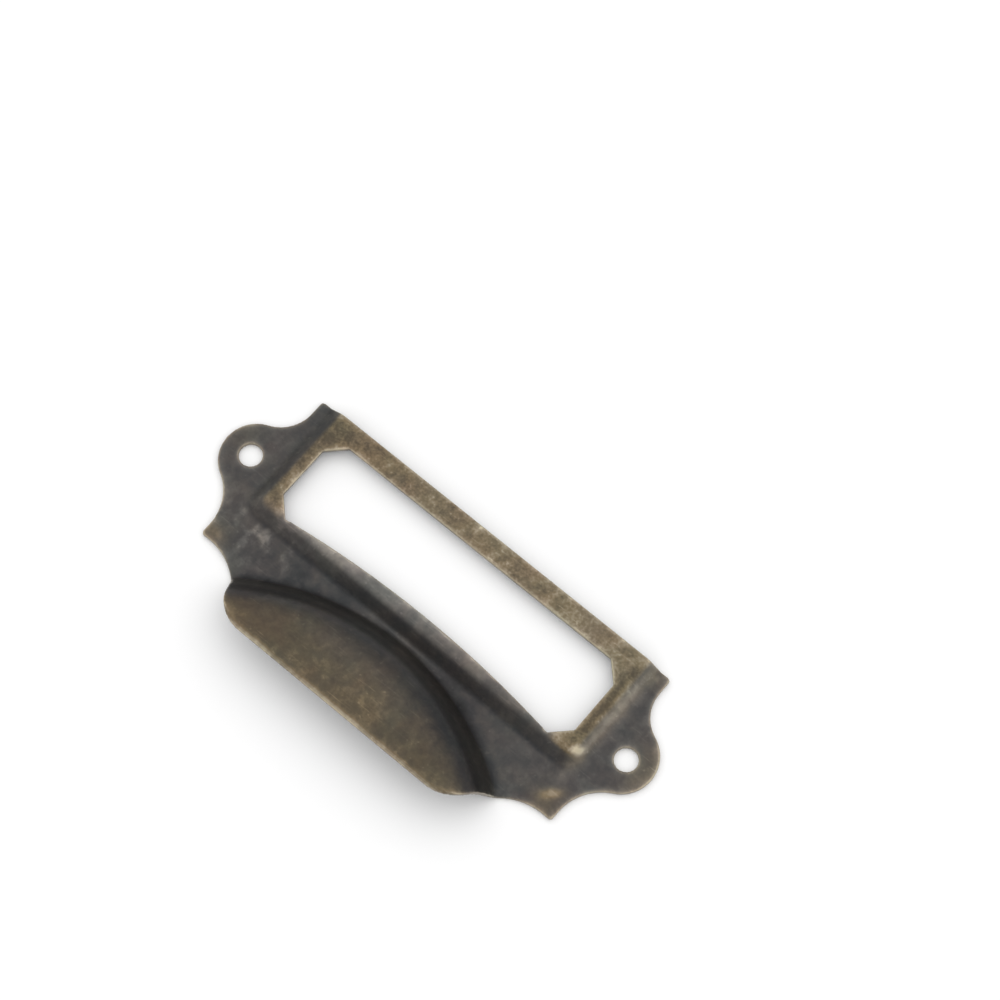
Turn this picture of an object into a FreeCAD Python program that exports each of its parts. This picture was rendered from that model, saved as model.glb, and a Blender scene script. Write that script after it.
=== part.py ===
import FreeCAD, Part
import math
import os
import Sketcher
from FreeCAD import Vector

# Label frame pull: one sheet of metal, pressed and then trimmed.
# X runs along the two screw holes, Y towards the open top of the label frame and Z out of the drawer front.
# The origin is midway between the screw holes, on the back face that lies against the drawer.

# Driving dimensions in millimetres and degrees.
DIMENSIONS = {
    # Sheet
    "sheet_thickness": 0.8,
    # Screw holes and ears
    "hole_spacing": 70.0,
    "hole_diameter": 3.5,
    "ear_radius": 5.5,
    "ear_inset": 1.0,             # from the hole in to the middle of the ear
    # Plate outline
    "waist_inset": 2.5,           # from the hole line in to the straight of the cusps
    "top_edge": 12.9,             # from the hole line up to the open edge
    "upper_cusp_length": 2.5,
    "lower_cusp_length": 1.6,
    "cusp_tip_radius": 0.5,
    "cusp_rise": 1.8,             # from the ends of the hood's foot up to the lower cusps
    "lower_edge_radius": 9.6,
    # Raised label frame
    "frame_rise": 1.5,
    "frame_flank_angle": 35.0,
    "frame_bend_radius": 1.5,     # inside the bend at the top of the flank
    "frame_foot_radius": 1.0,
    "frame_corner_radius": 3.0,
    "side_land": 1.75,            # flat plate beside the frame
    "side_rail": 1.6,
    "top_rail": 3.4,
    "bottom_rail": 0.2,           # at the window's lower corners
    # Label window
    "window_height": 13.9,
    "window_chamfer": 2.7,
    "window_bow": 1.8,
    # Finger hood
    "land_width": 0.8,            # flat plate between the frame and the crown of the hood
    "hood_rise": 7.0,
    "hood_wall_angle": 59.0,
    "hood_arch": 7.6,             # from the crown of the foot arc down to its ends
    "hood_end_inset": 8.6,        # from the waist in to the ends of the foot arc
    "hood_front": 6.8,            # from the ends of the foot arc down to the rim
    "hood_bend_radius": 4.7,      # inside the bend at the top of the wall
    "hood_foot_radius": 0.8,
    "rim_inset": 15.4,            # from the waist in to the end of the straight rim
    "rim_corner_radius": 6.0,
    "rim_round_radius": 0.6,      # round the front edge of the rim
    # Size of the sheet and the press tool before trimming
    "press_margin": 6.0,
    "press_depth": 4.0,
}

# Places worked out from the driving dimensions.
PLACES = {
    "ear_x": "dims.hole_spacing / 2 - dims.ear_inset",
    "waist_x": "dims.hole_spacing / 2 - dims.waist_inset",
    "frame_foot_x": "places.waist_x - dims.side_land",
    "flank_run": "dims.frame_rise / tan(dims.frame_flank_angle)",
    "window_x": "places.frame_foot_x - places.flank_run - dims.side_rail",
    "window_top": "dims.top_edge - dims.top_rail",
    "window_bottom": "places.window_top - dims.window_height",
    "frame_foot_y": "places.window_bottom - dims.bottom_rail - places.flank_run",
    "frame_far_y": "dims.top_edge + dims.press_margin",
    "hood_crown_y": "places.frame_foot_y - dims.land_width",
    "hood_end_x": "places.waist_x - dims.hood_end_inset",
    "hood_end_y": "places.hood_crown_y - dims.hood_arch",
    "hood_radius": "(places.hood_end_x ^ 2 + dims.hood_arch ^ 2) / (2 * dims.hood_arch)",
    "hood_centre_y": "places.hood_crown_y - places.hood_radius",
    "cusp_y": "places.hood_end_y + dims.cusp_rise",
    "rim_x": "places.waist_x - dims.rim_inset",
    "rim_y": "places.hood_end_y - dims.hood_front",
    "hood_top": "dims.sheet_thickness + dims.hood_rise",
    "press_x": "max(places.hood_radius; dims.hole_spacing / 2 + dims.ear_radius) + dims.press_margin",
    "press_top": "places.frame_far_y + dims.press_margin",
    "press_bottom": "places.hood_centre_y - places.hood_radius - dims.press_margin",
}

# Codes that a sketch gives to an edge's points, to its own axes and to its origin.
START, END, CENTRE = range(1, 4)
X_AXIS, Y_AXIS = range(-1, -3, -1)
ORIGIN = (X_AXIS, START)
# Lengths that differ by less than this count as the same.
NEAR = 1e-4


def make_sizes(doc):
    """Put the driving dimensions in a sheet and the worked-out places in a set of variables."""
    sheet = doc.addObject("Spreadsheet::Sheet", "dims")
    for row, (alias, value) in enumerate(DIMENSIONS.items(), start=1):
        sheet.set(f"A{row}", alias.replace("_", " "))
        sheet.set(f"B{row}", str(value))
        sheet.setAlias(f"B{row}", alias)
    doc.recompute()
    places = doc.addObject("App::VarSet", "places")
    for name, formula in PLACES.items():
        places.addProperty("App::PropertyFloat", name)
        places.setExpression(name, formula)
        doc.recompute()
    sizes = {alias: float(sheet.get(alias)) for alias in DIMENSIONS}
    sizes.update({name: getattr(places, name) for name in PLACES})
    return sizes


def origin_plane(body, role):
    return next(plane for plane in body.Origin.OriginFeatures if plane.Role == role)


def new_sketch(body, name, level=None, role="XY_Plane"):
    """Start a sketch on the back plane or another, or raised to the level that an expression gives."""
    sketch = body.newObject("Sketcher::SketchObject", name)
    sketch.AttachmentSupport = (origin_plane(body, role), [""])
    sketch.MapMode = "FlatFace"
    if level:
        sketch.setExpression("AttachmentOffset.Base.z", level)
    return sketch


def relate(sketch, kind, *references):
    sketch.addConstraint(Sketcher.Constraint(kind, *references))


def dimension(sketch, name, kind, references, value, formula):
    """Add a dimension under a name and bind it to a formula."""
    index = sketch.addConstraint(Sketcher.Constraint(kind, *references, value))
    sketch.renameConstraint(index, name)
    sketch.setExpression(f"Constraints.{name}", formula)


def place_point(sketch, name, point, x=None, y=None):
    """Hold a point at signed distances from the axes, each a value with its formula."""
    for axis, place in (("X", x), ("Y", y)):
        if place is None:
            continue
        value, formula = place
        if value < 0:
            references = point + ORIGIN
            dimension(sketch, f"{name}_{axis}", f"Distance{axis}", references, -value, f"-({formula})")
        else:
            references = ORIGIN + point
            dimension(sketch, f"{name}_{axis}", f"Distance{axis}", references, value, formula)


def draw_line(sketch, start, end):
    return sketch.addGeometry(Part.LineSegment(Vector(*start), Vector(*end)), False)


def draw_arc(sketch, centre, radius, start, end, clockwise):
    """Draw an arc about a centre between two points. Returns the edge and its start and end points."""
    first = math.atan2(start[1] - centre[1], start[0] - centre[0])
    last = math.atan2(end[1] - centre[1], end[0] - centre[0])
    if clockwise:
        first, last = last, first
    if last < first:
        last += 2 * math.pi
    circle = Part.Circle(Vector(*centre), Vector(0, 0, 1), radius)
    edge = sketch.addGeometry(Part.ArcOfCircle(circle, first, last), False)
    return (edge, END, START) if clockwise else (edge, START, END)


def draw_rectangle(sketch, half_width, bottom, top):
    """Draw a rectangle across the Y axis. Each size is a value with its formula."""
    x, low, high = half_width[0], bottom[0], top[0]
    corners = [(-x, low), (x, low), (x, high), (-x, high)]
    edges = [draw_line(sketch, corners[i], corners[(i + 1) % 4]) for i in range(4)]
    for i in range(4):
        relate(sketch, "Coincident", edges[i], END, edges[(i + 1) % 4], START)
    lower, right, upper, left = edges
    relate(sketch, "Symmetric", lower, START, lower, END, Y_AXIS)
    relate(sketch, "Vertical", right)
    relate(sketch, "Horizontal", upper)
    relate(sketch, "Vertical", left)
    place_point(sketch, "low_corner", (lower, END), half_width, bottom)
    place_point(sketch, "high_corner", (upper, START), y=top)


def draw_rounded_rectangle(sketch, half_width, bottom, top, corner):
    """Draw a rectangle with round corners across the Y axis. Each size is a value with its formula."""
    x, low, high, radius = half_width[0], bottom[0], top[0], corner[0]
    lines, arcs = [], []
    # Middle of each corner and the two points where its arc begins and ends, anticlockwise from lower right.
    turns = [((1, low + radius), (0, -1), (1, 0)), ((1, high - radius), (1, 0), (0, 1)),
             ((-1, high - radius), (0, 1), (-1, 0)), ((-1, low + radius), (-1, 0), (0, -1))]
    for (side, y), begin, finish in turns:
        centre = (side * (x - radius), y)
        start, end = [tuple(c + radius * d for c, d in zip(centre, step)) for step in (begin, finish)]
        arcs.append((draw_arc(sketch, centre, radius, start, end, False)[0], start, end))
    for i in range(4):
        lines.append(draw_line(sketch, arcs[i - 1][2], arcs[i][1]))
    for i in range(4):
        relate(sketch, "Tangent", lines[i], END, arcs[i][0], START)
        relate(sketch, "Tangent", arcs[i - 1][0], END, lines[i], START)
    lower, right, upper, left = lines
    relate(sketch, "Symmetric", lower, START, lower, END, Y_AXIS)
    relate(sketch, "Vertical", right)
    relate(sketch, "Horizontal", upper)
    relate(sketch, "Vertical", left)
    for arc in arcs[1:]:
        relate(sketch, "Equal", arcs[0][0], arc[0])
    dimension(sketch, "corner_radius", "Radius", (arcs[0][0],), *corner)
    place_point(sketch, "bottom", (lower, END), y=bottom)
    place_point(sketch, "side", (right, START), x=half_width)
    place_point(sketch, "top", (upper, START), y=top)


def point_along(first, second, distance):
    """The point at a distance from the first of two points, on the line to the second."""
    share = distance / math.dist(first, second)
    return tuple(a + (b - a) * share for a, b in zip(first, second))


def pad(body, name, sketch, length):
    feature = body.newObject("PartDesign::Pad", name)
    feature.Profile = sketch
    feature.setExpression("Length", length)
    return feature


def cut_through(body, name, sketch):
    """Cut a sketch's area out of the whole height of the sheet."""
    feature = body.newObject("PartDesign::Pocket", name)
    feature.Profile = sketch
    feature.Type = "ThroughAll"
    feature.Midplane = True
    return feature


def round_edges(body, name, radius, choose):
    """Round the edges of the body so far that a test picks out."""
    body.Document.recompute()
    base = body.Tip
    names = [f"Edge{i}" for i, edge in enumerate(base.Shape.Edges, start=1) if choose(edge)]
    feature = body.newObject("PartDesign::Fillet", name)
    feature.Base = (base, names)
    feature.setExpression("Radius", radius)


def level_edge(height, low, high):
    """A test for edges that lie at one height inside a box in plan."""
    def test(edge):
        box = edge.BoundBox
        level = abs(box.ZMin - height) < NEAR and abs(box.ZMax - height) < NEAR
        inside_x = low[0] - NEAR < box.XMin and box.XMax < high[0] + NEAR
        inside_y = low[1] - NEAR < box.YMin and box.YMax < high[1] + NEAR
        return level and inside_x and inside_y

    return test


def press_block(body, s):
    """The press tool's block: its top is the front face of the flat plate."""
    sketch = new_sketch(body, "press_block_outline", "dims.sheet_thickness")
    draw_rectangle(sketch, (s["press_x"], "places.press_x"), (s["press_bottom"], "places.press_bottom"),
                   (s["press_top"], "places.press_top"))
    block = pad(body, "press_block", sketch, "dims.sheet_thickness + dims.press_depth")
    block.Reversed = True


def frame_boss(body, s):
    """The raised label frame: a sloping-sided block, whose far side is trimmed off at the open top edge."""
    sketch = new_sketch(body, "frame_foot_outline", "dims.sheet_thickness")
    draw_rounded_rectangle(sketch, (s["frame_foot_x"], "places.frame_foot_x"),
                           (s["frame_foot_y"], "places.frame_foot_y"),
                           (s["frame_far_y"], "places.frame_far_y"),
                           (s["frame_corner_radius"], "dims.frame_corner_radius"))
    boss = pad(body, "frame_boss", sketch, "dims.frame_rise")
    boss.setExpression("TaperAngle", "dims.frame_flank_angle - 90")


def hood_boss(body, s):
    """The finger hood: a round sloping-sided block, of which the trimming leaves one side."""
    sketch = new_sketch(body, "hood_foot_outline", "dims.sheet_thickness")
    centre = Vector(0, s["hood_centre_y"], 0)
    circle = sketch.addGeometry(Part.Circle(centre, Vector(0, 0, 1), s["hood_radius"]), False)
    relate(sketch, "PointOnObject", circle, CENTRE, Y_AXIS)
    place_point(sketch, "centre", (circle, CENTRE), y=(s["hood_centre_y"], "places.hood_centre_y"))
    dimension(sketch, "radius", "Radius", (circle,), s["hood_radius"], "places.hood_radius")
    boss = pad(body, "hood_boss", sketch, "dims.hood_rise")
    boss.setExpression("TaperAngle", "dims.hood_wall_angle - 90")


def bends(body, s):
    """The bends: small ones round the frame, a fuller one round the top of the hood's wall."""
    frame_low = (-s["frame_foot_x"], s["frame_foot_y"])
    frame_high = (s["frame_foot_x"], s["frame_far_y"])
    hood_low = (-s["hood_radius"], s["hood_centre_y"] - s["hood_radius"])
    hood_high = (s["hood_radius"], s["hood_crown_y"])
    front = s["sheet_thickness"]
    round_edges(body, "frame_shoulder", "dims.frame_bend_radius + dims.sheet_thickness",
                level_edge(front + s["frame_rise"], frame_low, frame_high))
    round_edges(body, "hood_shoulder", "dims.hood_bend_radius + dims.sheet_thickness",
                level_edge(s["hood_top"], hood_low, hood_high))
    round_edges(body, "frame_foot", "dims.frame_foot_radius", level_edge(front, frame_low, frame_high))
    round_edges(body, "hood_foot", "dims.hood_foot_radius", level_edge(front, hood_low, hood_high))


def sheet_metal(body):
    """Leave only a sheet of even thickness along the top of the press block."""
    body.Document.recompute()
    base = body.Tip
    floor = base.Shape.BoundBox.ZMin
    faces = [f"Face{i}" for i, face in enumerate(base.Shape.Faces, start=1)
             if face.BoundBox.ZMin < floor + NEAR]
    sheet = body.newObject("PartDesign::Thickness", "sheet_metal")
    sheet.Base = (base, faces)
    sheet.setExpression("Value", "dims.sheet_thickness")
    sheet.Reversed = True


def trim_right(body, s):
    """The right half of the waste round the outline: a cusp, an ear, a cusp and half of the hood's rim."""
    sketch = new_sketch(body, "outline")
    tip = s["cusp_tip_radius"]
    waist = s["waist_x"]
    ear = (s["ear_x"], 0)
    reach = s["ear_radius"] - (waist - s["ear_x"])

    def scallop(height):
        """Centre and radius of a hollow that touches the ear and the waist, ending at a height."""
        radius = ((waist - ear[0]) ** 2 + height ** 2 - s["ear_radius"] ** 2) / (2 * reach)
        return (waist + radius, height), radius

    upper_end = s["top_edge"] - s["upper_cusp_length"]
    lower_end = s["cusp_y"] + s["lower_cusp_length"]
    upper, upper_radius = scallop(upper_end)
    lower, lower_radius = scallop(lower_end)
    corner_radius = s["rim_corner_radius"]
    edge_radius = s["lower_edge_radius"]
    corner = (s["rim_x"], s["rim_y"] + corner_radius)
    edge_y = s["cusp_y"] - edge_radius
    edge_x = corner[0] + math.sqrt((edge_radius + corner_radius) ** 2 - (edge_y - corner[1]) ** 2)
    lower_edge = (edge_x, edge_y)
    tip_x = waist - tip
    upper_tip = (tip_x, s["top_edge"] - tip)
    lower_tip = (tip_x, edge_y + math.sqrt((edge_radius + tip) ** 2 - (tip_x - edge_x) ** 2))

    # Points where one stretch of the outline runs into the next, clockwise from the middle of the top.
    joints = [
        (0, s["top_edge"]),
        (tip_x, s["top_edge"]),
        (waist, upper_tip[1]),
        (waist, upper_end),
        point_along(ear, upper, s["ear_radius"]),
        point_along(ear, lower, s["ear_radius"]),
        (waist, lower_end),
        (waist, lower_tip[1]),
        point_along(lower_tip, lower_edge, tip),
        point_along(corner, lower_edge, corner_radius),
        (corner[0], s["rim_y"]),
        (0, s["rim_y"]),
    ]
    # Centre, radius and sense of each stretch. The straight ones have none.
    stretches = [
        None,
        (upper_tip, tip, True),
        None,
        (upper, upper_radius, False),
        (ear, s["ear_radius"], True),
        (lower, lower_radius, False),
        None,
        (lower_tip, tip, True),
        (lower_edge, edge_radius, False),
        (corner, corner_radius, True),
        None,
    ]
    edges = []
    for start, end, arc in zip(joints, joints[1:], stretches):
        edges.append(draw_arc(sketch, arc[0], arc[1], start, end, arc[2]) if arc
                     else (draw_line(sketch, start, end), START, END))
    for before, after in zip(edges, edges[1:]):
        relate(sketch, "Tangent", before[0], before[2], after[0], after[1])
    (top_line, top_tip, upper_side, upper_hollow, ear_arc, lower_hollow,
     lower_side, bottom_tip, edge_arc, corner_arc, rim_line) = [edge[0] for edge in edges]

    relate(sketch, "Horizontal", top_line)
    relate(sketch, "PointOnObject", top_line, START, Y_AXIS)
    relate(sketch, "Vertical", upper_side)
    relate(sketch, "Vertical", lower_side)
    relate(sketch, "Horizontal", rim_line)
    relate(sketch, "PointOnObject", rim_line, END, Y_AXIS)
    relate(sketch, "PointOnObject", ear_arc, CENTRE, X_AXIS)
    relate(sketch, "Equal", top_tip, bottom_tip)
    place_point(sketch, "top", (top_line, START), y=(s["top_edge"], "dims.top_edge"))
    place_point(sketch, "waist", (upper_side, START), x=(waist, "places.waist_x"))
    place_point(sketch, "lower_waist", (lower_side, START), x=(waist, "places.waist_x"))
    place_point(sketch, "upper_hollow", (upper_hollow, CENTRE),
                y=(upper_end, "dims.top_edge - dims.upper_cusp_length"))
    place_point(sketch, "lower_hollow", (lower_hollow, CENTRE),
                y=(lower_end, "places.cusp_y + dims.lower_cusp_length"))
    place_point(sketch, "ear", (ear_arc, CENTRE), x=(ear[0], "places.ear_x"))
    place_point(sketch, "lower_edge", (edge_arc, CENTRE),
                y=(edge_y, "places.cusp_y - dims.lower_edge_radius"))
    place_point(sketch, "rim_end", (rim_line, START),
                (corner[0], "places.rim_x"), (s["rim_y"], "places.rim_y"))
    dimension(sketch, "tip_radius", "Radius", (top_tip,), tip, "dims.cusp_tip_radius")
    dimension(sketch, "ear_radius", "Radius", (ear_arc,), s["ear_radius"], "dims.ear_radius")
    dimension(sketch, "edge_radius", "Radius", (edge_arc,), edge_radius, "dims.lower_edge_radius")
    dimension(sketch, "corner_radius", "Radius", (corner_arc,), corner_radius, "dims.rim_corner_radius")

    # The waste reaches past the edges of the press block.
    far_x = s["press_x"] + s["press_margin"]
    far_top = s["press_top"] + s["press_margin"]
    far_bottom = s["press_bottom"] - s["press_margin"]
    corners = [(0, s["rim_y"]), (0, far_bottom), (far_x, far_bottom), (far_x, far_top), (0, far_top),
               (0, s["top_edge"])]
    sides = [draw_line(sketch, a, b) for a, b in zip(corners, corners[1:])]
    chain = [rim_line] + sides
    for before, after in zip(chain, chain[1:]):
        relate(sketch, "Coincident", before, END, after, START)
    relate(sketch, "Coincident", sides[-1], END, top_line, START)
    for side, kind in zip(sides, ("Vertical", "Horizontal", "Vertical", "Horizontal", "Vertical")):
        relate(sketch, kind, side)
    place_point(sketch, "waste_low", (sides[1], END), (far_x, "places.press_x + dims.press_margin"),
                (far_bottom, "places.press_bottom - dims.press_margin"))
    place_point(sketch, "waste_high", (sides[3], START),
                y=(far_top, "places.press_top + dims.press_margin"))
    return cut_through(body, "trim", sketch)


def window_right(body, s):
    """The right half of the label window: clipped corners and a lower edge that bows upwards."""
    sketch = new_sketch(body, "window_outline")
    side = s["window_x"]
    top = s["window_top"]
    bottom = s["window_bottom"]
    clip = s["window_chamfer"]
    bow = s["window_bow"]
    half_chord = side - clip
    bow_radius = (half_chord ** 2 + bow ** 2) / (2 * bow)
    crown = (0, bottom + bow)
    points = [crown, (0, top), (half_chord, top), (side, top - clip), (side, bottom + clip),
              (half_chord, bottom)]
    lines = [draw_line(sketch, a, b) for a, b in zip(points, points[1:])]
    bow_centre = (0, crown[1] - bow_radius)
    bow_arc, bow_start, bow_end = draw_arc(sketch, bow_centre, bow_radius, points[-1], crown, False)
    for before, after in zip(lines, lines[1:]):
        relate(sketch, "Coincident", before, END, after, START)
    relate(sketch, "Coincident", lines[-1], END, bow_arc, bow_start)
    relate(sketch, "Coincident", bow_arc, bow_end, lines[0], START)
    relate(sketch, "PointOnObject", lines[0], START, Y_AXIS)
    relate(sketch, "PointOnObject", bow_arc, CENTRE, Y_AXIS)
    relate(sketch, "Vertical", lines[0])
    relate(sketch, "Horizontal", lines[1])
    relate(sketch, "Vertical", lines[3])
    place_point(sketch, "top_clip", (lines[2], START),
                (half_chord, "places.window_x - dims.window_chamfer"), (top, "places.window_top"))
    place_point(sketch, "side", (lines[3], START), (side, "places.window_x"),
                (top - clip, "places.window_top - dims.window_chamfer"))
    place_point(sketch, "side_foot", (lines[3], END),
                y=(bottom + clip, "places.window_bottom + dims.window_chamfer"))
    place_point(sketch, "bottom_clip", (lines[4], END),
                (half_chord, "places.window_x - dims.window_chamfer"), (bottom, "places.window_bottom"))
    place_point(sketch, "crown", (lines[0], START), y=(crown[1], "places.window_bottom + dims.window_bow"))
    return cut_through(body, "window", sketch)


def screw_hole_right(body, s):
    """The right screw hole, on the hole line."""
    sketch = new_sketch(body, "screw_hole_outline")
    centre = Vector(s["hole_spacing"] / 2, 0, 0)
    circle = sketch.addGeometry(Part.Circle(centre, Vector(0, 0, 1), s["hole_diameter"] / 2), False)
    relate(sketch, "PointOnObject", circle, CENTRE, X_AXIS)
    place_point(sketch, "hole", (circle, CENTRE), x=(s["hole_spacing"] / 2, "dims.hole_spacing / 2"))
    dimension(sketch, "bore", "Diameter", (circle,), s["hole_diameter"], "dims.hole_diameter")
    return cut_through(body, "screw_hole", sketch)


def rim_round_right(body, s):
    """The right half of the rim's rounded front edge, swept along the rim and up its corner."""
    corner = s["rim_corner_radius"]
    rim_x, rim_y = s["rim_x"], s["rim_y"]
    middle = (rim_x, rim_y + corner)
    corner_end = (rim_x + corner, rim_y + corner)
    path = new_sketch(body, "rim_path", "places.hood_top")
    rim_line = draw_line(path, (0, rim_y), (rim_x, rim_y))
    corner_arc, turn_start, turn_end = draw_arc(path, middle, corner, (rim_x, rim_y), corner_end, False)
    relate(path, "Tangent", rim_line, END, corner_arc, turn_start)
    relate(path, "Horizontal", rim_line)
    relate(path, "PointOnObject", rim_line, START, Y_AXIS)
    relate(path, "Horizontal", corner_arc, CENTRE, corner_arc, turn_end)
    place_point(path, "rim_end", (rim_line, END), (rim_x, "places.rim_x"), (rim_y, "places.rim_y"))
    dimension(path, "corner_radius", "Radius", (corner_arc,), corner, "dims.rim_corner_radius")

    # Across the rim: what lies outside a quarter round, out to a clear margin.
    section = new_sketch(body, "rim_section", role="YZ_Plane")
    radius, top, margin = s["rim_round_radius"], s["hood_top"], s["sheet_thickness"]
    inner, lower = rim_y + radius, top - radius
    outer, upper = rim_y - margin, top + margin
    points = [(rim_y, lower), (outer, lower), (outer, upper), (inner, upper), (inner, top)]
    lines = [draw_line(section, a, b) for a, b in zip(points, points[1:])]
    centre = (inner, lower)
    quarter, quarter_start, quarter_end = draw_arc(section, centre, radius, points[-1], points[0], False)
    for before, after in zip(lines, lines[1:]):
        relate(section, "Coincident", before, END, after, START)
    relate(section, "Coincident", lines[-1], END, quarter, quarter_start)
    relate(section, "Coincident", quarter, quarter_end, lines[0], START)
    for line, kind in zip(lines, ("Horizontal", "Vertical", "Horizontal", "Vertical")):
        relate(section, kind, line)
    relate(section, "Vertical", quarter, CENTRE, quarter, quarter_start)
    relate(section, "Horizontal", quarter, CENTRE, quarter, quarter_end)
    place_point(section, "rim", (quarter, quarter_end), x=(rim_y, "places.rim_y"))
    place_point(section, "top", (quarter, quarter_start), y=(top, "places.hood_top"))
    place_point(section, "clear", (lines[1], END), (outer, "places.rim_y - dims.sheet_thickness"),
                (upper, "places.hood_top + dims.sheet_thickness"))
    dimension(section, "radius", "Radius", (quarter,), radius, "dims.rim_round_radius")

    rounding = body.newObject("PartDesign::SubtractivePipe", "rim_round")
    rounding.Profile = section
    rounding.Spine = (path, ["Edge1", "Edge2"])
    return rounding


def mirror_left(body, originals):
    """Repeat the cuts of the right half on the left."""
    mirror = body.newObject("PartDesign::Mirrored", "left_half")
    mirror.Originals = originals
    mirror.MirrorPlane = (origin_plane(body, "YZ_Plane"), [""])
    body.Tip = mirror


def build(doc):
    s = make_sizes(doc)
    body = doc.addObject("PartDesign::Body", "label_frame_pull")
    body.Label = "label_frame_pull"
    press_block(body, s)
    frame_boss(body, s)
    hood_boss(body, s)
    bends(body, s)
    sheet_metal(body)
    doc.recompute()
    cuts = [trim_right(body, s), window_right(body, s), screw_hole_right(body, s), rim_round_right(body, s)]
    doc.recompute()
    mirror_left(body, cuts)
    doc.recompute()
    for cut in cuts:
        if cut.Shape.Volume >= cut.BaseFeature.Shape.Volume:
            raise RuntimeError(f"{cut.Label} cuts nothing")
    return [body]


def check(doc, parts):
    """Stop if any object of the document failed or any part isn't one valid solid."""
    for item in doc.Objects:
        if "Invalid" in item.State or "Error" in item.State:
            raise RuntimeError(f"{item.Label} failed: {item.State}")
    for part in parts:
        shape = part.Shape
        if shape.isNull() or not shape.isValid() or len(shape.Solids) != 1:
            raise RuntimeError(f"{part.Label} isn't one valid solid")


document = FreeCAD.newDocument("label_frame_pull")
sub_parts = build(document)
check(document, sub_parts)
os.makedirs("parts", exist_ok=True)
for sub_part in sub_parts:
    sub_part.Shape.exportStep(f"parts/{sub_part.Label}.step")
    print(f"{sub_part.Label}: {sub_part.Shape.Volume:.1f} mm3")
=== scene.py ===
import math

import bmesh
import bpy
import numpy as np
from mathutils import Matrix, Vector


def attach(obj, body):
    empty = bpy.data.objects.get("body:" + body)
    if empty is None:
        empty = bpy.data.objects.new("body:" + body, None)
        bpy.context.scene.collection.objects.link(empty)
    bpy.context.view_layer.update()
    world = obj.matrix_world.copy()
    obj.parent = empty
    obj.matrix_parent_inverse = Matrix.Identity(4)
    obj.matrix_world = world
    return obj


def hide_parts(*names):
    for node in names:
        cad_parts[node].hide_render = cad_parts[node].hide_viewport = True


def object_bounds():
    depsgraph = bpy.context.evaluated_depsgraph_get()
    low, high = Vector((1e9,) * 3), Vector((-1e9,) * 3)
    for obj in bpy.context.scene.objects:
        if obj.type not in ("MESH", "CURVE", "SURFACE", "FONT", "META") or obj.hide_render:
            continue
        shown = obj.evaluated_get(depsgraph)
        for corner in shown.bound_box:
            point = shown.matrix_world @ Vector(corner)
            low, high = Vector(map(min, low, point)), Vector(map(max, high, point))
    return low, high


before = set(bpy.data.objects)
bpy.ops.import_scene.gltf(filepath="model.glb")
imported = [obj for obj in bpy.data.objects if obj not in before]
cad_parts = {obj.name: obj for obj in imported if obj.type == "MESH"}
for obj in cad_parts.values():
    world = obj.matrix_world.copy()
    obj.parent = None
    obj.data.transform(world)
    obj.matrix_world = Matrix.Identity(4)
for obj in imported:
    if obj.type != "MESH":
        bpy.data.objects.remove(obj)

CAD_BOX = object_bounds()
MM = 0.001
NODE = "label_frame_pull"

# The view of the photograph: where the camera stands and looks, in millimetres of the part's frame.
CAMERA_AT = (87.9, -89.8, 397.5)
CAMERA_AIM = (-3.1, 17.9, 0.8)
LENS_MM = 105.8
SENSOR_MM = 36.0
# The nearest and the farthest that the camera sees, in metres.
CLIP_START = 0.01
CLIP_END = 10.0

# The paper under the pull: half its length, and how high its edge is turned up, in metres.
FLOOR_REACH = 2.0
FLOOR_EDGE = 0.26
PAPER_COLOUR = "#f9f9f9"
PAPER_ROUGHNESS = 0.9

# The light: the way to its brightest part, how narrow that part is, and the level of the rest.
OVERHEAD = (0.0, 0.36, 0.933)
OVERHEAD_POWER = 2.0
TENT_LEVEL = 0.62
# What the brightest part, the sides, the near side and the opening add to that level.
OVERHEAD_LIGHT = 0.92
SIDE_LIGHT = 0.35
NEAR_LIGHT = 0.15
OPENING_LIGHT = -0.5
# Where the sides, the near side, the far side and the low part of the tent begin and are full: how
# far the way to them leans across, along or upwards, out of 1.
SIDE_RANGE = (0.35, 0.95)
NEAR_RANGE = (-0.3, -0.9)
FAR_RANGE = (0.0, 0.9)
LOW_RANGE = (0.95, 0.1)

# How finely the sheet is meshed. The mesher halves a cube this many times.
FACE_SIZE = 0.235 * MM
HALVINGS = 9
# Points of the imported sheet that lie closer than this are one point.
SAME_POINT = 0.001 * MM
# How far one round of smoothing moves a point towards the middle of its neighbours.
SMOOTHING_STEP = 0.5
# Rounds of smoothing: a few soften the cut edges, more even out the facets of the bends.
EDGE_ROUNDS = 2
BEND_ROUNDS = 8
# How far the narrow smoothing moves a point of a bend and of a cut edge, in sizes of a face.
SHARPNESS = (0.12, 0.3)
# Rounds of smoothing that show a narrow ridge, such as a cut edge, and a broad bend.
NARROW_ROUNDS = 6
BROAD_ROUNDS = 60
# Rounds that ease the crease at the foot of the hood, as a worn press tool leaves it. The easing
# sets in and ends over these heights, distances below the hole line and half lengths in
# millimetres, and where the metal faces up this far.
CREASE_ROUNDS = 40
FOOT_BOTTOM = (0.7, 0.8)
FOOT_TOP = (2.6, 3.4)
FOOT_EDGE = (7.0, 7.2)
FOOT_FADE = (6.5, 7.5)
FOOT_END = (25.0, 28.0)
FOOT_FACING = (0.2, 0.4)

# How far up the metal faces on a cut edge, and on the front, where hands rub it.
CUT_FACING = (0.15, 0.45)
FRONT_FACING = (0.1, 0.6)
# Heights in millimetres over which the rubbing begins and is full on the frame and on the hood.
FRAME_HEIGHTS = (1.85, 2.25)
HOOD_HEIGHTS = (6.4, 7.8)
# Where the hood begins below the frame, and a half length that takes it in.
HOOD_TOP_Y = -7.0
HOOD_HALF_LENGTH = 30.0
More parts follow.
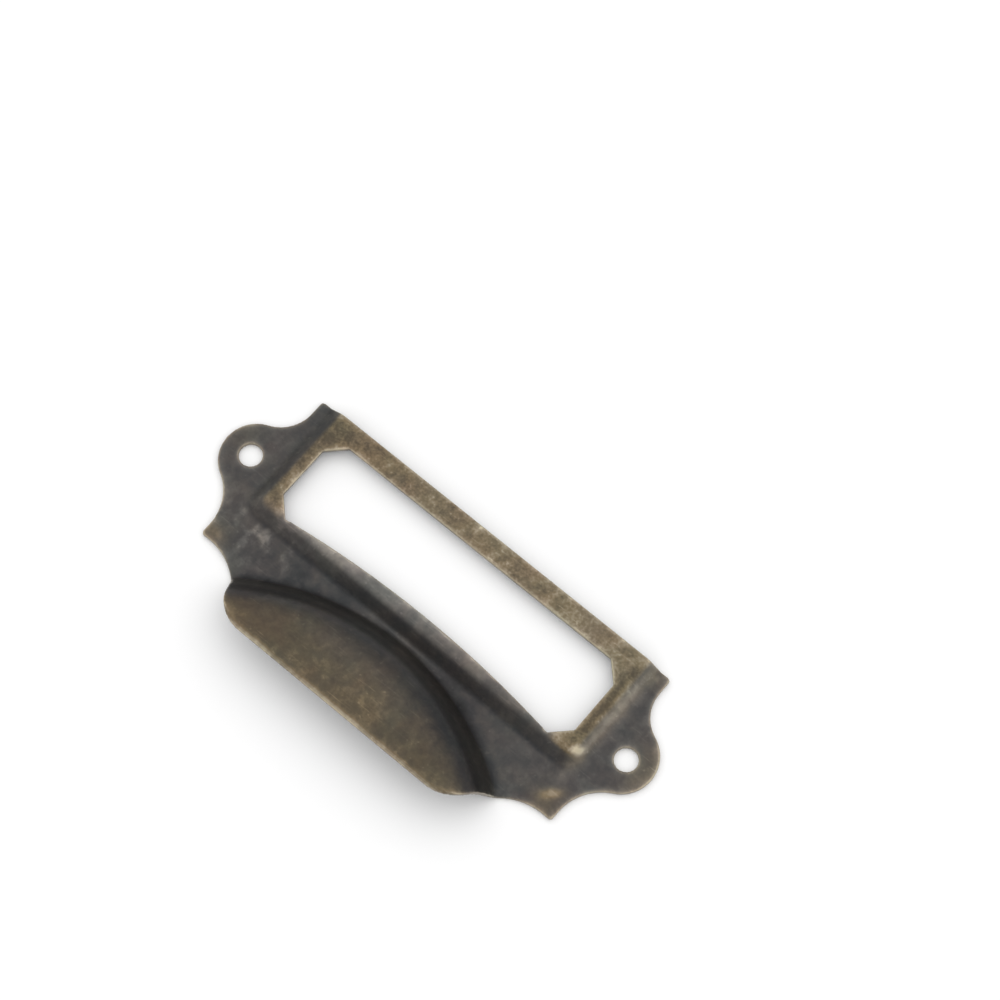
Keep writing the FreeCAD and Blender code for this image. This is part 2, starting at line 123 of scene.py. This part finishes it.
# The front of the hood is lighter and browner towards its rim: over which distances below the hole
# line, and how light it is and how far the brass shows at first and at the rim.
HOOD_FADE = (11.0, 20.0)
HOOD_SHARE = (0.08, 0.45)
HOOD_BRASS = (0.45, 1.0)
# The hood has fewer specks than the rails.
HOOD_SPECKS = 0.25
# Painted light that lifts the wall of the hood and painted shade that darkens its shoulder, which
# set
# the shading across the bend: how strong each is, and at which heights they begin.
HOOD_WALL_PAINTED_LIGHT = 1.3
HOOD_WALL_HEIGHTS = (0.9, 1.6)
HOOD_SHOULDER_PAINTED_SHADE = -0.12
HOOD_SHOULDER_HEIGHTS = (3.0, 5.0)
# The bright line of the rim: distances below the hole line and heights over which it sets in.
RIM_LINE = (21.2, 21.8)
RIM_HEIGHTS = (4.0, 6.0)
# The rail under the window is a lighter grey, less towards its ends:
# where it goes over into the side rails, over which lengths on the left and on the right the
# lightening fades, and how much of it is lost there.
LOWER_RAIL_TOP = (-2.6, 0.5)
LEFT_CORNER = (-6.5, -3.0)
LOWER_RAIL_END = (24.0, 26.0)
LOWER_RAIL_LEFT = (16.0, 25.0)
LOWER_RAIL_RIGHT = (4.0, 20.0)
LEFT_LOSS = 0.35
RIGHT_LOSS = 0.65

# Places worn or left darker than the rest, and two painted highlights on the right of the frame:
# middle, half length and half width in millimetres, turn in degrees, how far the skin is rubbed
# through (for the two highlights, how much light is painted) and how far the brass shows.
SPOTS = (
    ((30.2, -10.4), 1.9, 0.75, 40, 0.29, 0.9),
    # A bright spot on the lower right corner of the frame: partly polish, partly a painted
    # highlight.
    ((29.3, -3.5), 1.0, 0.55, 50, 0.38, 0.4),
    ((28.2, -4.2), 1.6, 1.2, 0, 0.1, 0.8),
    ((28.0, 4.0), 9.0, 0.8, 90, -0.26, 0.0),
    ((-28.6, 3.0), 8.0, 1.6, 90, -0.07, 0.0),
    ((10.0, -8.0), 8.0, 2.0, -12, -0.14, 0.0),
    # A painted sheen on the right flank of the frame, standing in for light from the right; its
    # brass share warms it.
    ((29.7, 4.5), 11.0, 1.1, 90, 0.43, 0.5),
    ((-31.3, -12.3), 2.2, 1.8, 0, 0.16, 0.8),
    ((30.6, -12.3), 2.6, 2.2, 0, 0.06, 0.6),
    ((3.0, -4.6), 13.0, 1.2, 0, -0.12, 0.0),
    ((-20.0, -5.6), 8.0, 1.1, 6, 0.1, 0.0),
    ((-29.6, 3.0), 8.0, 1.0, 90, 0.08, 0.1),
    ((14.0, -16.0), 7.0, 5.0, -40, -0.13, -0.1),
    ((38.0, 0.0), 3.0, 5.0, 0, 0.12, 0.5),
    ((-38.0, 1.0), 2.5, 4.0, 0, 0.06, 0.3),
    ((31.5, 11.5), 2.0, 2.0, 0, 0.05, 0.3),
    ((-19.0, -9.6), 6.0, 2.5, 0, -0.08, 0.0),
    ((-25.0, 10.5), 9.0, 5.0, 0, -0.09, 0.0),
    ((22.0, 11.0), 8.0, 4.0, 0, 0.05, 0.0),
    ((-13.8, -18.0), 5.5, 2.4, 12, -0.11, 0.0),
    ((-15.2, -14.9), 4.0, 1.2, 25, 0.08, 0.0),
    ((3.0, -12.9), 8.0, 2.0, 0, -0.08, 0.0),
    ((-18.5, -9.6), 3.0, 1.8, 20, -0.05, 0.0),
)

# Where the plate was scuffed most: middle and half sizes in millimetres, and how strong the scuffs
# are everywhere and by how much stronger there.
SCUFFED_AT = (-24.0, -8.0)
SCUFFED_SIZE = (7.0, 4.0)
SCUFFS_EVERYWHERE = 0.4
SCUFFS_THERE = 1.4

# How much darker the creases round the hood are: partly dark skin left in them, partly painted
# shade that widens the dark band at the foot of the hood. Over which hollowness in millimetres it
# sets in, and
# where along and across the pull: none in the middle, where the land between the hood and the frame
# is narrow and stays light.
CREASE_PATINA_AND_SHADE = -0.8
CREASE_HOLLOWNESS = (0.02, 0.15)
CREASE_LENGTH = (5.0, 12.0)
CREASE_WIDTH = (3.0, 7.0)

# How far a bright edge and a broad ridge stand out, in millimetres, and how bright a cut face is.
EDGE_HEIGHT = (0.02, 0.12)
RIDGE_HEIGHT = (0.02, 0.25)
CUT_SHARE = 0.7

# Patterns of the metal: size in millimetres, detail, and how far they are twisted.
PATTERNS = {
    "cloud": (7.0, 3.0, 0.3),
    "tint": (5.5, 2.0, 0.5),
    "blotch": (1.5, 4.0, 0.4),
    "scuff": (1.9, 4.0, 0.15),
    "speck": (0.4, 3.0, 0.0),
    "fleck": (0.8, 1.0, 0.0),
}
PATTERN_MIDDLE = 0.5
# The scuffs and flecks are the peaks of their patterns: where these begin and are full.
SCUFF_PEAKS = (-0.08, 0.2)
FLECK_PEAKS = (0.2, 0.25)
# Scratches are long thin streaks: turn in radians and length in millimetres of each set. Real ones
# are finer, and these are drawn as wide as they need to be to show.
SCRATCH_SETS = ((0.35, 6.0), (-0.6, 4.0))
SCRATCH_WIDTH = 0.16
SCRATCH_DEPTH = 5.0
SCRATCH_PEAKS = (0.7, 0.78)

# How far the plain plate is rubbed through, and by how much more where the mark of rubbing is full.
RUB_LEVEL = 0.39
RUB_STEP = 0.24
# How strong the specks are on the plate, by how much stronger on the rails, and how blotchy.
SPECKS_EVERYWHERE = 0.1
SPECKS_ON_RAILS = 0.27
SPECK_BLOTCHES = 0.6
# How far the plain plate shows brass, and by how much more where the mark of brass is full.
BRASS_LEVEL = 0.03
BRASS_STEP = 0.9
# Colours of the dark skin and of the brass, by how far the metal is rubbed.
SKIN_COLOURS = ((0.0, "#2d2c2c"), (0.22, "#3c3c3d"), (0.4, "#4a4847"), (0.55, "#585654"),
                (0.7, "#6a6764"), (0.85, "#827e79"), (1.0, "#a6a29a"))
BRASS_COLOURS = ((0.0, "#322d28"), (0.25, "#443d35"), (0.5, "#564d3f"), (0.68, "#716450"),
                 (0.85, "#908472"), (1.0, "#b6aa93"))
# Clouds of slightly cooler and warmer skin: what they multiply the colour by, and how distinct.
COOL_TINT = (0.95, 1.0, 0.99, 1.0)
WARM_TINT = (1.03, 0.985, 0.98, 1.0)
TINT_CONTRAST = 2.5
# Rubbed metal is smoother than the dark skin: from and to which rubbing, and the two roughnesses.
ROUGHNESS_RUB = (0.1, 0.9)
ROUGHNESS = (0.52, 0.34)
# The fine unevenness of the metal: strength, height in millimetres, and the share of the specks.
BUMP_STRENGTH = 0.35
BUMP_HEIGHT = 0.08
BUMP_SPECKS = 0.5


def linear(code):
    """Linear colour of an sRGB hex value."""
    channels = [int(code[i:i + 2], 16) / 255 for i in (1, 3, 5)]
    return [c / 12.92 if c <= 0.04045 else ((c + 0.055) / 1.055) ** 2.4 for c in channels] + [1.0]


def add_node(tree, kind, inputs=None, **settings):
    """Add a node with its settings. An input is a plain value or the output that links to it."""
    made = tree.nodes.new(kind)
    for name, value in settings.items():
        setattr(made, name, value)
    for key, value in (inputs or {}).items():
        if isinstance(value, bpy.types.NodeSocket):
            tree.links.new(value, made.inputs[key])
        else:
            made.inputs[key].default_value = value
    return made


def add_object(name, data):
    """Put a mesh or a camera into the scene."""
    made = bpy.data.objects.new(name, data)
    bpy.context.scene.collection.objects.link(made)
    return made


def set_camera():
    """A long lens looking steeply down on the pull."""
    lens = bpy.data.cameras.new("camera")
    lens.lens = LENS_MM
    lens.sensor_width = SENSOR_MM
    lens.clip_start = CLIP_START
    lens.clip_end = CLIP_END
    camera = add_object("camera", lens)
    camera.location = Vector(CAMERA_AT) * MM
    direction = (Vector(CAMERA_AIM) - Vector(CAMERA_AT)) * MM
    camera.rotation_euler = direction.to_track_quat("-Z", "Y").to_euler()
    bpy.context.scene.camera = camera


def even_faces(node):
    """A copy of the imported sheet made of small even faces."""
    form = bmesh.new()
    form.from_mesh(node.data)
    bmesh.ops.remove_doubles(form, verts=form.verts, dist=SAME_POINT)
    mesh = bpy.data.meshes.new("packed_sheet")
    form.to_mesh(mesh)
    form.free()
    packed = add_object("packed_sheet", mesh)
    remesh = packed.modifiers.new("even_faces", "REMESH")
    remesh.mode = "SHARP"
    remesh.octree_depth = HALVINGS
    remesh.scale = max(packed.dimensions) / (FACE_SIZE * 2 ** HALVINGS)
    evaluated = packed.evaluated_get(bpy.context.evaluated_depsgraph_get())
    fine = bpy.data.meshes.new_from_object(evaluated)
    bpy.data.objects.remove(packed)
    fine.name = "pressed_sheet"
    return fine


def read_points(points, name):
    """One value of three numbers from each point of a mesh, such as its place."""
    values = np.empty(len(points) * 3)
    points.foreach_get(name, values)
    return values.reshape(-1, 3)


def smoothed(places, pairs, rounds, share=SMOOTHING_STEP):
    """Move each point towards the middle of its neighbours, by a share that may differ by point."""
    count = len(places)
    first, second = pairs.T
    neighbours = np.bincount(pairs.ravel(), minlength=count)[:, None]
    for _ in range(rounds):
        total = np.stack([np.bincount(first, places[second, axis], count)
                          + np.bincount(second, places[first, axis], count)
                          for axis in range(3)], 1)
        places = places + (total / neighbours - places) * share
    return places


def ramp(values, low, high):
    """A smooth step from 0 to 1 between two values."""
    t = np.clip((values - low) / (high - low), 0, 1)
    return t * t * (3 - 2 * t)


def between(pair, share):
    """The value that lies a share of the way from the first of a pair to the second."""
    return pair[0] + (pair[1] - pair[0]) * share


def spot(x, y, middle, length, width, turn=0):
    """A soft spot: 1 in its middle, fading over its half length and half width."""
    cos, sin = math.cos(math.radians(turn)), math.sin(math.radians(turn))
    along = (x - middle[0]) * cos + (y - middle[1]) * sin
    across = (y - middle[1]) * cos - (x - middle[0]) * sin
    return np.exp(-(along / length) ** 2 - (across / width) ** 2)


def soften(mesh, pairs):
    """Places of the sheet's points with soft cut edges, even bends and an eased crease."""
    places = read_points(mesh.vertices, "co")
    facing = read_points(mesh.vertex_normals, "vector")
    inward = smoothed(places, pairs, NARROW_ROUNDS) - places
    sharp = np.linalg.norm(inward, axis=1) / FACE_SIZE
    bend = 1 - ramp(sharp, *SHARPNESS)
    places = smoothed(places, pairs, BEND_ROUNDS, bend[:, None] * SMOOTHING_STEP)
    places = smoothed(places, pairs, EDGE_ROUNDS)
    x, y, z = places.T / MM
    crease = ramp(z, *FOOT_BOTTOM) * ramp(-y, *FOOT_FADE) * (1 - ramp(z, *FOOT_TOP))
    crease *= 1 - ramp(np.abs(x), *FOOT_END)
    crease *= ramp(facing[:, 2], *FOOT_FACING) * ramp(-y, *FOOT_EDGE)
    places = smoothed(places, pairs, CREASE_ROUNDS, crease[:, None] * SMOOTHING_STEP)
    return np.clip(places, *(np.array(corner) for corner in CAD_BOX))


def wear_and_painted_light_marks(places, facing, pairs):
    """How each point of the sheet wears, and where sheen and shade are painted on it: one row of
    values for each mark.
    """
    narrow, broad = (-((smoothed(places, pairs, rounds) - places) * facing).sum(1) / MM
                     for rounds in (NARROW_ROUNDS, BROAD_ROUNDS))
    x, y, z = places.T / MM
    front = ramp(facing[:, 2], *FRONT_FACING)
    on_frame = ramp(z, *FRAME_HEIGHTS)
    on_hood = (y < HOOD_TOP_Y) & (np.abs(x) < HOOD_HALF_LENGTH)

    # The rails of the frame.
    right_end, left_end = ramp(x, *LOWER_RAIL_END), ramp(-x, *LOWER_RAIL_END)
    corners = right_end + left_end * ramp(y, *LEFT_CORNER)
    side_rails = np.maximum(ramp(y, *LOWER_RAIL_TOP), corners)
    rail_lightening = 1 - RIGHT_LOSS * ramp(x, *LOWER_RAIL_RIGHT) - LEFT_LOSS * ramp(-x, *LOWER_RAIL_LEFT)
    rail_lightening = np.maximum(side_rails, rail_lightening)

    # The front of the hood, its wall and its shoulder.
    hood = ramp(z, *HOOD_HEIGHTS)
    to_rim = ramp(-y, *HOOD_FADE)
    # The wall is painted lighter and the shoulder darker: painted light and shade across the bend.
    shoulder = ramp(z, *HOOD_SHOULDER_HEIGHTS)
    painted_wall_light_and_shade = HOOD_WALL_PAINTED_LIGHT * ramp(z, *HOOD_WALL_HEIGHTS) * (1 - shoulder)
    painted_wall_light_and_shade += HOOD_SHOULDER_PAINTED_SHADE * shoulder
    hood_share = hood * between(HOOD_SHARE, to_rim) + (1 - hood) * painted_wall_light_and_shade

    wear_and_painted_light = np.where(on_hood, hood_share, on_frame * rail_lightening) * front
    brassy = np.where(on_hood, hood * between(HOOD_BRASS, to_rim), on_frame * side_rails) * front
    speckled = np.where(on_hood, HOOD_SPECKS * hood, on_frame * side_rails) * front
    # Dark skin in the creases round the hood, with painted shade that widens the dark band at its
    # foot.
    crease_patina_and_shade = ramp(-broad, *CREASE_HOLLOWNESS)
    crease_patina_and_shade *= ramp(np.abs(x), *CREASE_LENGTH) * ramp(-y, *CREASE_WIDTH)
    wear_and_painted_light += CREASE_PATINA_AND_SHADE * crease_patina_and_shade * front
    scuffed = SCUFFS_THERE * spot(x, y, SCUFFED_AT, *SCUFFED_SIZE) * (1 - on_frame)
    scuffed = (SCUFFS_EVERYWHERE + scuffed) * front
    for middle, length, width, turn, rub_and_light, brass in SPOTS:
        share = spot(x, y, middle, length, width, turn) * front
        wear_and_painted_light += rub_and_light / RUB_STEP * share
        brassy += brass * share

    rim = ramp(-y, *RIM_LINE) * ramp(z, *RIM_HEIGHTS)
    cut = np.maximum(1 - ramp(np.abs(facing[:, 2]), *CUT_FACING), rim)
    edge = np.maximum(ramp(narrow, *EDGE_HEIGHT), CUT_SHARE * cut)
    return {"edge": edge, "ridge": ramp(broad, *RIDGE_HEIGHT), "speckled": speckled,
            "scuffed": scuffed, "wear_and_painted_light": wear_and_painted_light, "brassy": brassy}


def pressed_sheet(node):
    """The sheet with softened cut edges, even bends, and marks for where it wears and where light
    and shade are painted on it.
    """
    mesh = even_faces(node)
    pairs = np.empty(len(mesh.edges) * 2, dtype=np.int32)
    mesh.edges.foreach_get("vertices", pairs)
    pairs = pairs.reshape(-1, 2)
    places = soften(mesh, pairs)
    mesh.vertices.foreach_set("co", places.ravel())
    mesh.update()
    mesh.polygons.foreach_set("use_smooth", np.ones(len(mesh.polygons), dtype=bool))
    facing = read_points(mesh.vertex_normals, "vector")
    for name, values in wear_and_painted_light_marks(places, facing, pairs).items():
        mark = mesh.attributes.new(name, "FLOAT", "POINT")
        mark.data.foreach_set("value", values.astype(np.float32))
    return mesh


def antique_brass():
    """Brass sheet blackened in a bath and rubbed back by hand: a dark grey skin, brown on the
    raised parts, with a thin bright line along the edges; some marks also carry painted sheen and
    shade."""
    material = bpy.data.materials.new("antique_brass")
    material.use_nodes = True
    tree = material.node_tree
    shader = tree.nodes["Principled BSDF"]
    place = add_node(tree, "ShaderNodeTexCoord").outputs["Object"]
    in_mm = add_node(tree, "ShaderNodeVectorMath", {0: place, 1: (1 / MM,) * 3},
                     operation="MULTIPLY").outputs[0]
    mark = {name: add_node(tree, "ShaderNodeAttribute", attribute_name=name).outputs["Fac"]
            for name in ("edge", "ridge", "speckled", "scuffed", "wear_and_painted_light", "brassy")}
    # Each pattern is set about zero.
    pattern = {}
    for name, (size, detail, twist) in PATTERNS.items():
        noise = add_node(tree, "ShaderNodeTexNoise", {"Vector": in_mm, "Scale": 1 / size,
                                                      "Detail": detail, "Distortion": twist})
        pattern[name] = add_node(tree, "ShaderNodeMath",
                                 {0: noise.outputs["Fac"], 1: PATTERN_MIDDLE},
                                 operation="SUBTRACT").outputs[0]
    wisps = add_node(tree, "ShaderNodeMapRange",
                     {"Value": pattern["scuff"], "From Min": SCUFF_PEAKS[0],
                      "From Max": SCUFF_PEAKS[1]},
                     interpolation_type="SMOOTHSTEP").outputs[0]
    scuffs = add_node(tree, "ShaderNodeMath", {0: wisps, 1: mark["scuffed"]},
                      operation="MULTIPLY").outputs[0]
    # A few pale flecks, as if of dust.
    flecks = add_node(tree, "ShaderNodeMapRange",
                      {"Value": pattern["fleck"], "From Min": FLECK_PEAKS[0],
                       "From Max": FLECK_PEAKS[1]}).outputs[0]
    scratches = []
    for turn, length in SCRATCH_SETS:
        scale = (1 / length, 1 / SCRATCH_WIDTH, 1 / SCRATCH_DEPTH)
        along = add_node(tree, "ShaderNodeMapping",
                         {"Vector": in_mm, "Rotation": (0, 0, turn), "Scale": scale}).outputs[0]
        streak = add_node(tree, "ShaderNodeTexNoise",
                          {"Vector": along, "Scale": 1.0, "Detail": 1.0}).outputs["Fac"]
        scratches.append(add_node(tree, "ShaderNodeMapRange",
                                  {"Value": streak, "From Min": SCRATCH_PEAKS[0],
                                   "From Max": SCRATCH_PEAKS[1]}).outputs[0])
    # The specks stand out most on the rails, where the skin is rubbed most.
    speck_share = add_node(tree, "ShaderNodeMath",
                           {0: mark["speckled"], 1: SPECKS_ON_RAILS, 2: SPECKS_EVERYWHERE},
                           operation="MULTIPLY_ADD").outputs[0]
    grain = add_node(tree, "ShaderNodeMath",
                     {0: pattern["blotch"], 1: SPECK_BLOTCHES, 2: pattern["speck"]},
                     operation="MULTIPLY_ADD").outputs[0]
    specks = add_node(tree, "ShaderNodeMath", {0: grain, 1: speck_share},
                      operation="MULTIPLY").outputs[0]

    # How far the dark skin is rubbed through, from 0 in the hollows to 1 on bare edges, with the
    # painted
    # sheen and shade of the marks in it: what each mark and pattern adds.
    rub_and_light = add_node(tree, "ShaderNodeMath", {0: mark["wear_and_painted_light"], 1: RUB_STEP, 2: RUB_LEVEL},
                   operation="MULTIPLY_ADD").outputs[0]
    for source, amount in ((flecks, 0.08), (pattern["cloud"], 0.25), (pattern["blotch"], 0.25),
                           (specks, 1.0), (scuffs, 0.16), (scratches[0], 0.12),
                           (scratches[1], 0.12), (mark["ridge"], 0.15), (mark["edge"], 0.42)):
        rub_and_light = add_node(tree, "ShaderNodeMath", {0: source, 1: amount, 2: rub_and_light},
                       operation="MULTIPLY_ADD").outputs[0]
    # How far the colour is that of brass and not of the dark skin.
    brass = add_node(tree, "ShaderNodeMath", {0: mark["brassy"], 1: BRASS_STEP, 2: BRASS_LEVEL},
                     operation="MULTIPLY_ADD").outputs[0]
    for source, amount in ((pattern["cloud"], 0.6), (pattern["blotch"], 0.3), (mark["edge"], 0.6)):
        brass = add_node(tree, "ShaderNodeMath", {0: source, 1: amount, 2: brass},
                         operation="MULTIPLY_ADD", use_clamp=True).outputs[0]

    ramps = []
    for stops in (SKIN_COLOURS, BRASS_COLOURS):
        colours = add_node(tree, "ShaderNodeValToRGB", {"Fac": rub_and_light})
        elements = colours.color_ramp.elements
        while len(elements) < len(stops):
            elements.new(0.5)
        for element, (at, code) in zip(elements, stops):
            element.position = at
            element.color = linear(code)
        ramps.append(colours.outputs["Color"])
    colour = add_node(tree, "ShaderNodeMix", {0: brass, 6: ramps[0], 7: ramps[1]},
                      data_type="RGBA").outputs[2]
    warmth = add_node(tree, "ShaderNodeMath",
                      {0: pattern["tint"], 1: TINT_CONTRAST, 2: PATTERN_MIDDLE},
                      operation="MULTIPLY_ADD", use_clamp=True).outputs[0]
    tint = add_node(tree, "ShaderNodeMix", {0: warmth, 6: COOL_TINT, 7: WARM_TINT},
                    data_type="RGBA").outputs[2]
    colour = add_node(tree, "ShaderNodeMix", {0: 1.0, 6: colour, 7: tint}, data_type="RGBA",
                      blend_type="MULTIPLY").outputs[2]
    roughness = add_node(tree, "ShaderNodeMapRange",
                         {"Value": rub_and_light, "From Min": ROUGHNESS_RUB[0], "From Max": ROUGHNESS_RUB[1],
                          "To Min": ROUGHNESS[0], "To Max": ROUGHNESS[1]}).outputs[0]
    height = add_node(tree, "ShaderNodeMath",
                      {0: pattern["speck"], 1: BUMP_SPECKS, 2: pattern["blotch"]},
                      operation="MULTIPLY_ADD").outputs[0]
    bump = add_node(tree, "ShaderNodeBump", {"Strength": BUMP_STRENGTH,
                                             "Distance": BUMP_HEIGHT * MM, "Height": height})
    for name, output in (("Base Color", colour), ("Roughness", roughness),
                         ("Normal", bump.outputs["Normal"])):
        tree.links.new(output, shader.inputs[name])
    shader.inputs["Metallic"].default_value = 1.0
    return material


def floor_material():
    """Matt white paper, which shows only the soft shadow of the pull."""
    material = bpy.data.materials.new("white_paper")
    material.use_nodes = True
    shader = material.node_tree.nodes["Principled BSDF"]
    shader.inputs["Base Color"].default_value = linear(PAPER_COLOUR)
    shader.inputs["Roughness"].default_value = PAPER_ROUGHNESS
    shader.inputs["Specular IOR Level"].default_value = 0.0
    return material


def lay_floor():
    """A sheet of paper whose edge is turned up far away, so that a low view ends on paper too."""
    form = bmesh.new()
    bmesh.ops.create_grid(form, x_segments=1, y_segments=1, size=FLOOR_REACH)
    turned = bmesh.ops.extrude_edge_only(form, edges=form.edges[:])["geom"]
    rim = [v for v in turned if isinstance(v, bmesh.types.BMVert)]
    bmesh.ops.translate(form, verts=rim, vec=(0, 0, FLOOR_EDGE))
    mesh = bpy.data.meshes.new("floor")
    form.to_mesh(mesh)
    form.free()
    floor = add_object("floor", mesh)
    floor.data.materials.append(floor_material())


def set_light():
    """A white tent with a darker opening low down beyond the frame."""
    world = bpy.data.worlds.new("white_tent")
    world.use_nodes = True
    tree = world.node_tree
    way = add_node(tree, "ShaderNodeTexCoord").outputs["Generated"]
    lean = add_node(tree, "ShaderNodeSeparateXYZ", {0: way}).outputs
    above = add_node(tree, "ShaderNodeVectorMath", {0: way, 1: OVERHEAD},
                     operation="DOT_PRODUCT").outputs["Value"]
    above = add_node(tree, "ShaderNodeMath", {0: above, 1: 0.0}, operation="MAXIMUM").outputs[0]
    above = add_node(tree, "ShaderNodeMath", {0: above, 1: OVERHEAD_POWER},
                     operation="POWER").outputs[0]
    across = add_node(tree, "ShaderNodeMath", {0: lean["X"]}, operation="ABSOLUTE").outputs[0]
    parts = []
    for value, (begins, full) in ((across, SIDE_RANGE), (lean["Y"], NEAR_RANGE),
                                  (lean["Y"], FAR_RANGE), (lean["Z"], LOW_RANGE)):
        parts.append(add_node(tree, "ShaderNodeMapRange",
                              {"Value": value, "From Min": begins, "From Max": full},
                              interpolation_type="SMOOTHSTEP").outputs[0])
    sides, near, far, low = parts
    opening = add_node(tree, "ShaderNodeMath", {0: far, 1: low}, operation="MULTIPLY").outputs[0]
    strength = TENT_LEVEL
    for source, amount in ((above, OVERHEAD_LIGHT), (sides, SIDE_LIGHT), (near, NEAR_LIGHT),
                           (opening, OPENING_LIGHT)):
        strength = add_node(tree, "ShaderNodeMath", {0: source, 1: amount, 2: strength},
                            operation="MULTIPLY_ADD").outputs[0]
    background = tree.nodes["Background"]
    background.inputs["Color"].default_value = (1, 1, 1, 1)
    tree.links.new(strength, background.inputs["Strength"])
    bpy.context.scene.world = world


bpy.context.scene.view_settings.view_transform = "Standard"
set_camera()
set_light()
lay_floor()
pull = add_object("pressed_pull", pressed_sheet(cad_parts[NODE]))
pull.data.materials.clear()
pull.data.materials.append(antique_brass())
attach(pull, "root")
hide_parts(NODE)
